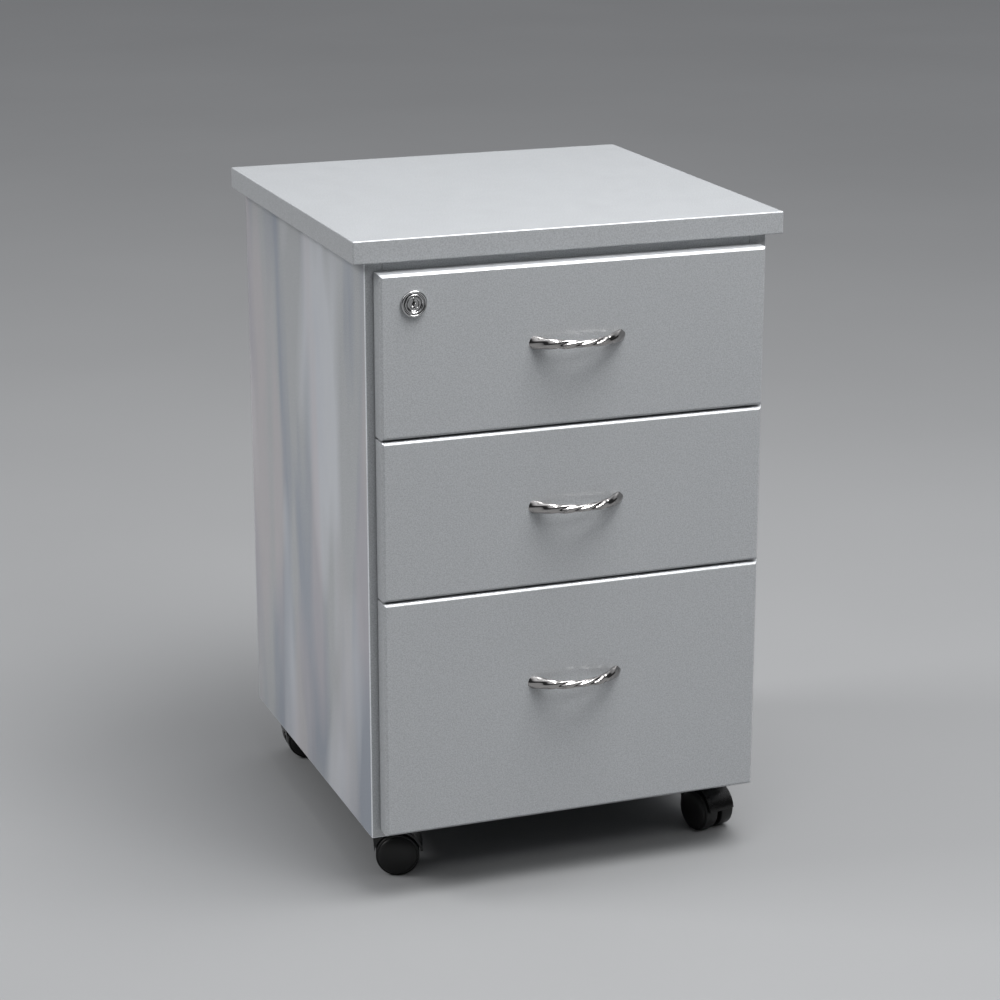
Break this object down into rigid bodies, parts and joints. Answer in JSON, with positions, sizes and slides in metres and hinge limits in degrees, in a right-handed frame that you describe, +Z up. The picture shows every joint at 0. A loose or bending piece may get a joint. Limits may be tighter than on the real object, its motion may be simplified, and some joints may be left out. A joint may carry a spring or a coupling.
{
  "type": "rolling pedestal cabinet",
  "caption": "Under-desk pedestal cabinet on twin-wheel casters, with stacked drawers on slides, bow handles and a lock that bars every drawer.",
  "frame": {"origin": "on the floor, at the centre of the whole object's box", "axes": "+Z up, -Y towards the person who opens the drawers, +X to that person's right"},
  "size_m": [0.397, 0.4206, 0.6],
  "materials": {
    "cabinet_board": "satin silver-grey melamine on particle board, edges banded to match",
    "drawer_box_board": "light grey foil-wrapped particle board",
    "slide_steel": "zinc-plated rolled steel",
    "handle_chrome": "polished chrome on cast zinc",
    "lock_chrome": "polished chrome on cast zinc",
    "lock_steel": "zinc-plated sheet steel",
    "caster_steel": "zinc-plated steel",
    "caster_plastic": "satin black moulded nylon"
  },
  "bodies": {
    "carcass": {"top_board": "cabinet_board", "side_panel_left": "cabinet_board", "side_panel_right": "cabinet_board", "back_panel": "cabinet_board", "bottom_board": "cabinet_board", "front_rail": "cabinet_board", "top_cabinet_slide_left": "slide_steel", "top_cabinet_slide_right": "slide_steel", "middle_cabinet_slide_left": "slide_steel", "middle_cabinet_slide_right": "slide_steel", "bottom_cabinet_slide_left": "slide_steel", "bottom_cabinet_slide_right": "slide_steel", "front_left_caster_plate": "caster_steel", "front_right_caster_plate": "caster_steel", "back_left_caster_plate": "caster_steel", "back_right_caster_plate": "caster_steel"},
    "top_drawer": {"top_drawer_front": "cabinet_board", "top_drawer_side_left": "drawer_box_board", "top_drawer_side_right": "drawer_box_board", "top_drawer_back": "drawer_box_board", "top_drawer_bottom": "drawer_box_board", "top_drawer_handle": "handle_chrome", "top_drawer_slide_left": "slide_steel", "top_drawer_slide_right": "slide_steel", "lock_housing": "lock_chrome"},
    "middle_drawer": {"middle_drawer_front": "cabinet_board", "middle_drawer_side_left": "drawer_box_board", "middle_drawer_side_right": "drawer_box_board", "middle_drawer_back": "drawer_box_board", "middle_drawer_bottom": "drawer_box_board", "middle_drawer_handle": "handle_chrome", "middle_drawer_slide_left": "slide_steel", "middle_drawer_slide_right": "slide_steel"},
    "bottom_drawer": {"bottom_drawer_front": "cabinet_board", "bottom_drawer_side_left": "drawer_box_board", "bottom_drawer_side_right": "drawer_box_board", "bottom_drawer_back": "drawer_box_board", "bottom_drawer_bottom": "drawer_box_board", "bottom_drawer_handle": "handle_chrome", "bottom_drawer_slide_left": "slide_steel", "bottom_drawer_slide_right": "slide_steel"},
    "lock_plug": {"lock_plug": "lock_chrome", "lock_cam": "lock_steel"},
    "lock_bar": {"lock_bar": "lock_steel"},
    "front_left_swivel": {"front_left_caster_hood": "caster_plastic", "front_left_caster_axle": "caster_steel"},
    "front_left_wheel_a": {"front_left_caster_wheel_a": "caster_plastic"},
    "front_left_wheel_b": {"front_left_caster_wheel_b": "caster_plastic"},
    "front_right_swivel": {"front_right_caster_hood": "caster_plastic", "front_right_caster_axle": "caster_steel"},
    "front_right_wheel_a": {"front_right_caster_wheel_a": "caster_plastic"},
    "front_right_wheel_b": {"front_right_caster_wheel_b": "caster_plastic"},
    "back_left_swivel": {"back_left_caster_hood": "caster_plastic", "back_left_caster_axle": "caster_steel"},
    "back_left_wheel_a": {"back_left_caster_wheel_a": "caster_plastic"},
    "back_left_wheel_b": {"back_left_caster_wheel_b": "caster_plastic"},
    "back_right_swivel": {"back_right_caster_hood": "caster_plastic", "back_right_caster_axle": "caster_steel"},
    "back_right_wheel_a": {"back_right_caster_wheel_a": "caster_plastic"},
    "back_right_wheel_b": {"back_right_caster_wheel_b": "caster_plastic"}
  },
  "joints": [
    {"name": "top_drawer_slide", "type": "slide", "parent": "carcass", "child": "top_drawer", "axis": [0, -1, 0], "range_m": [0, 0.26]},
    {"name": "middle_drawer_slide", "type": "slide", "parent": "carcass", "child": "middle_drawer", "axis": [0, -1, 0], "range_m": [0, 0.26]},
    {"name": "bottom_drawer_slide", "type": "slide", "parent": "carcass", "child": "bottom_drawer", "axis": [0, -1, 0], "range_m": [0, 0.26]},
    {"name": "lock_turn", "type": "hinge", "parent": "top_drawer", "child": "lock_plug", "pos_m": [-0.1485, -0.18925, 0.54575], "axis": [0, 1, 0], "range_deg": [0, 90]},
    {"name": "lock_bar_lift", "type": "slide", "parent": "carcass", "child": "lock_bar", "axis": [0, 0, 1], "range_m": [0, 0.01]},
    {"name": "front_left_swivel", "type": "hinge", "parent": "carcass", "child": "front_left_swivel", "pos_m": [-0.158, -0.11525, 0.05], "axis": [0, 0, 1], "continuous": true},
    {"name": "front_left_wheel_a_spin", "type": "hinge", "parent": "front_left_swivel", "child": "front_left_wheel_a", "pos_m": [-0.14564, -0.11927, 0.02], "axis": [0.309, 0.9511, 0], "continuous": true},
    {"name": "front_left_wheel_b_spin", "type": "hinge", "parent": "front_left_swivel", "child": "front_left_wheel_b", "pos_m": [-0.14564, -0.11927, 0.02], "axis": [0.309, 0.9511, 0], "continuous": true},
    {"name": "front_right_swivel", "type": "hinge", "parent": "carcass", "child": "front_right_swivel", "pos_m": [0.158, -0.11525, 0.05], "axis": [0, 0, 1], "continuous": true},
    {"name": "front_right_wheel_a_spin", "type": "hinge", "parent": "front_right_swivel", "child": "front_right_wheel_a", "pos_m": [0.16137, -0.12781, 0.02], "axis": [0.9659, 0.2588, 0], "continuous": true},
    {"name": "front_right_wheel_b_spin", "type": "hinge", "parent": "front_right_swivel", "child": "front_right_wheel_b", "pos_m": [0.16137, -0.12781, 0.02], "axis": [0.9659, 0.2588, 0], "continuous": true},
    {"name": "back_left_swivel", "type": "hinge", "parent": "carcass", "child": "back_left_swivel", "pos_m": [-0.158, 0.18575, 0.05], "axis": [0, 0, 1], "continuous": true},
    {"name": "back_left_wheel_a_spin", "type": "hinge", "parent": "back_left_swivel", "child": "back_left_wheel_a", "pos_m": [-0.14503, 0.18484, 0.02], "axis": [0.0698, 0.9976, 0], "continuous": true},
    {"name": "back_left_wheel_b_spin", "type": "hinge", "parent": "back_left_swivel", "child": "back_left_wheel_b", "pos_m": [-0.14503, 0.18484, 0.02], "axis": [0.0698, 0.9976, 0], "continuous": true},
    {"name": "back_right_swivel", "type": "hinge", "parent": "carcass", "child": "back_right_swivel", "pos_m": [0.158, 0.18575, 0.05], "axis": [0, 0, 1], "continuous": true},
    {"name": "back_right_wheel_a_spin", "type": "hinge", "parent": "back_right_swivel", "child": "back_right_wheel_a", "pos_m": [0.16636, 0.17579, 0.02], "axis": [0.766, 0.6428, 0], "continuous": true},
    {"name": "back_right_wheel_b_spin", "type": "hinge", "parent": "back_right_swivel", "child": "back_right_wheel_b", "pos_m": [0.16636, 0.17579, 0.02], "axis": [0.766, 0.6428, 0], "continuous": true}
  ],
  "couplings": [
    {"joint": "lock_turn", "follows": "lock_bar_lift", "rad_per_m": 157.08}
  ]
}
